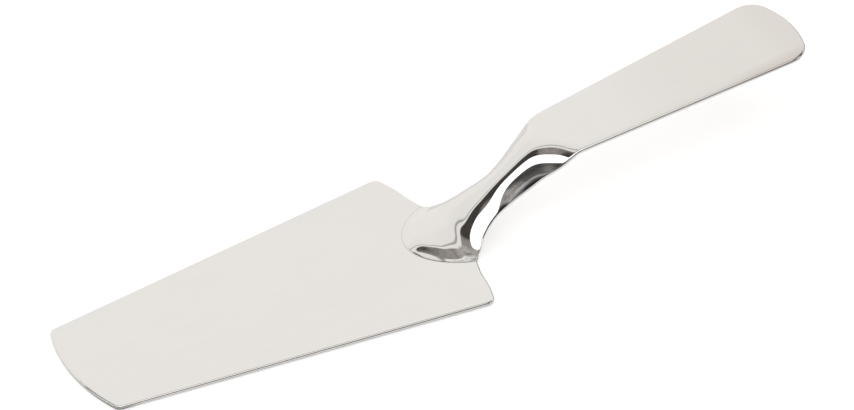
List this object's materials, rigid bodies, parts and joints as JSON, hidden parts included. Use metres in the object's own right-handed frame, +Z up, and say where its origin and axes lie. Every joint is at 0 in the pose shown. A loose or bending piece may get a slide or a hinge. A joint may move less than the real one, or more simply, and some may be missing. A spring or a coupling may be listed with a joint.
{
  "type": "cake server",
  "caption": "Polished sheet-steel cake server: flat tapered blade, pressed channel neck and raised flat grip.",
  "frame": {"origin": "on the blade's flat underside, midway between its two rear corners", "axes": "+X along the server from the blade's tip towards the grip's end, +Y across it, +Z up from the blade's underside"},
  "size_m": [0.2502, 0.0694, 0.035],
  "materials": {
    "blade_steel": "mirror-polished stainless steel sheet",
    "handle_steel": "mirror-polished stainless steel sheet, a little softer on the grip",
    "braze": "polished silver braze"
  },
  "bodies": {
    "root": {"blade": "blade_steel", "handle": "handle_steel", "braze_seam": "braze"}
  },
  "joints": []
}
